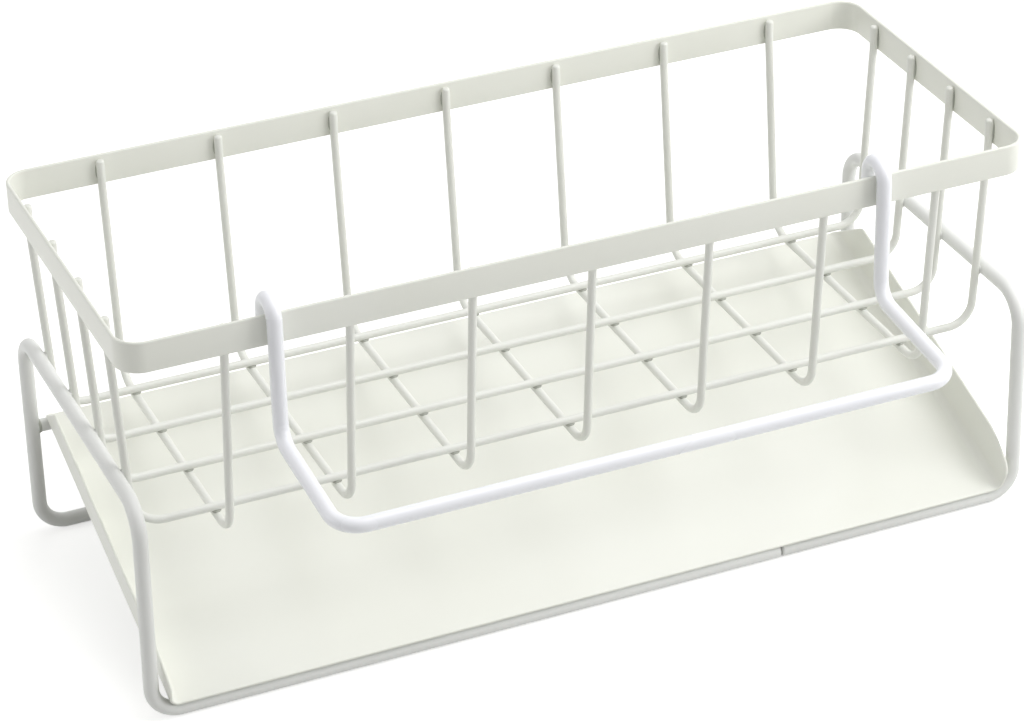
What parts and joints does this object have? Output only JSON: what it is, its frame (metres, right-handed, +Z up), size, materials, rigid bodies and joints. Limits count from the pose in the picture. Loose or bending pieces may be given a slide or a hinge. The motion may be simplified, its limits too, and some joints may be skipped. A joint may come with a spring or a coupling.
{
  "type": "sponge holder",
  "caption": "Countertop wire basket for sponges on a bent rod frame, with a strip rim, a sloping drip tray that pulls out to the front and a towel bar that hooks over the rim.",
  "frame": {"origin": "on the counter, under the middle of the whole part's box", "axes": "+X along the basket's length, +Y from the towel bar to the rear, +Z up"},
  "size_m": [0.253, 0.144, 0.1138],
  "materials": {
    "cream_coated_steel": "satin",
    "white_coated_steel": "gloss"
  },
  "bodies": {
    "rack": {"rim_band": "cream_coated_steel", "cross_wire_1": "cream_coated_steel", "cross_wire_2": "cream_coated_steel", "cross_wire_3": "cream_coated_steel", "cross_wire_4": "cream_coated_steel", "cross_wire_5": "cream_coated_steel", "cross_wire_6": "cream_coated_steel", "cross_wire_7": "cream_coated_steel", "long_wire_1": "cream_coated_steel", "long_wire_2": "cream_coated_steel", "long_wire_3": "cream_coated_steel", "long_wire_4": "cream_coated_steel", "base_frame": "cream_coated_steel", "tray_rest_rod": "cream_coated_steel"},
    "tray": {"drip_tray": "cream_coated_steel"},
    "towel_rail": {"towel_bar": "white_coated_steel"}
  },
  "joints": [
    {"name": "tray_pull", "type": "slide", "parent": "rack", "child": "tray", "axis": [0, -1, 0], "range_m": [0, 0.1]},
    {"name": "bar_lift", "type": "slide", "parent": "rack", "child": "towel_rail", "axis": [0, 0, 1], "range_m": [0, 0.015]}
  ]
}
